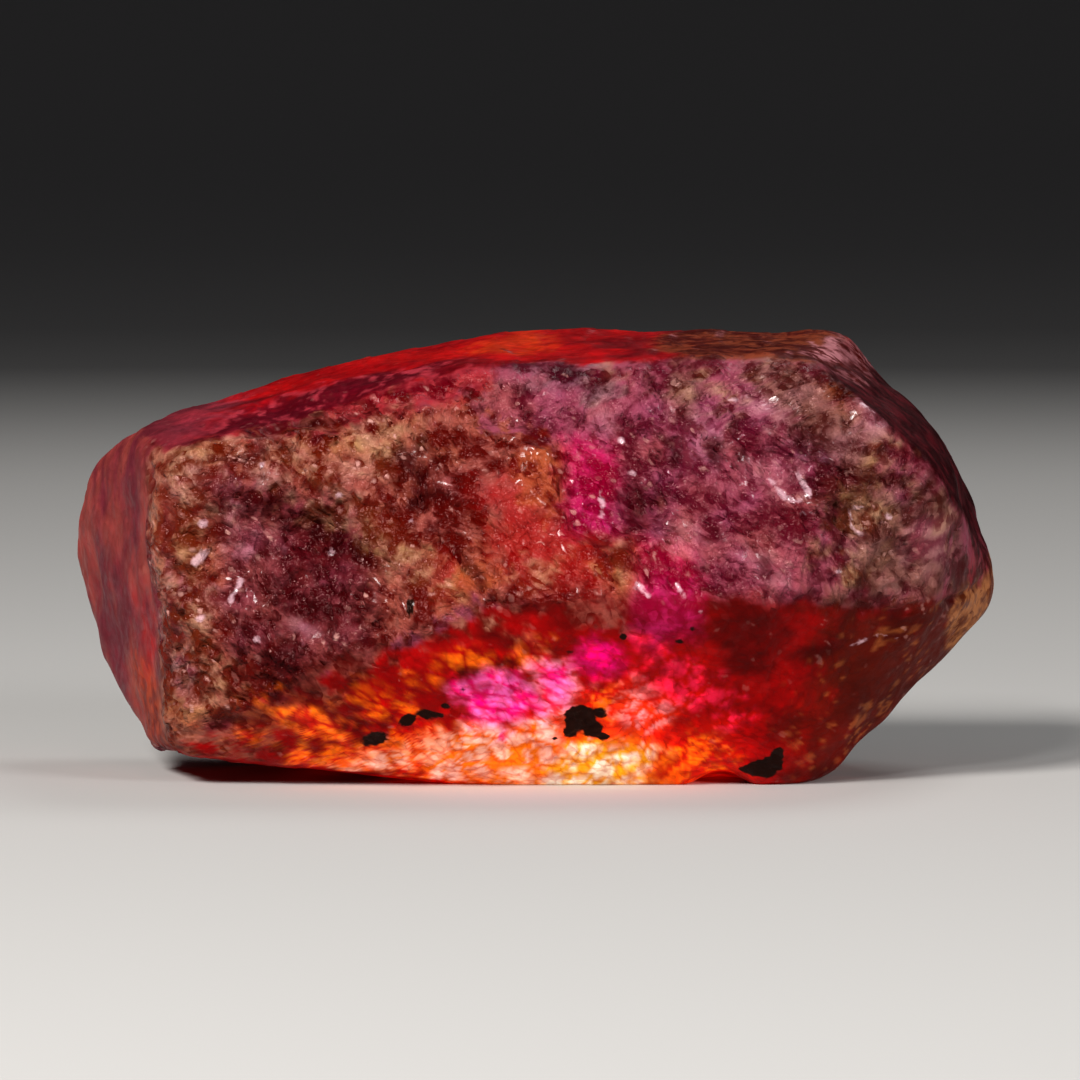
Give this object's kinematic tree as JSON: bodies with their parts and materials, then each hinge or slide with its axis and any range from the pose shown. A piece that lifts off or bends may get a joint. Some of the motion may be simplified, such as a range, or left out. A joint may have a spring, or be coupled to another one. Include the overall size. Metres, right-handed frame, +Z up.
{
  "type": "raw ruby crystal",
  "caption": "Raw ruby crystal: a barrel-shaped hexagonal corundum prism with worn, pitted faces, lying on a flat of its underside.",
  "frame": {"origin": "middle of the crystal's box in plan, at the height of the flat it rests on", "axes": "+X along the crystal's c-axis, its longest way, from the flat end to the pointed end; +Z up; -Y is the face with the hollow"},
  "size_m": [0.0186, 0.0094, 0.0088],
  "materials": {
    "raw_ruby": "translucent deep red corundum, rough and pitted, with a thin tan skin on part of the front"
  },
  "bodies": {
    "root": {"ruby_crystal": "raw_ruby"}
  },
  "joints": []
}
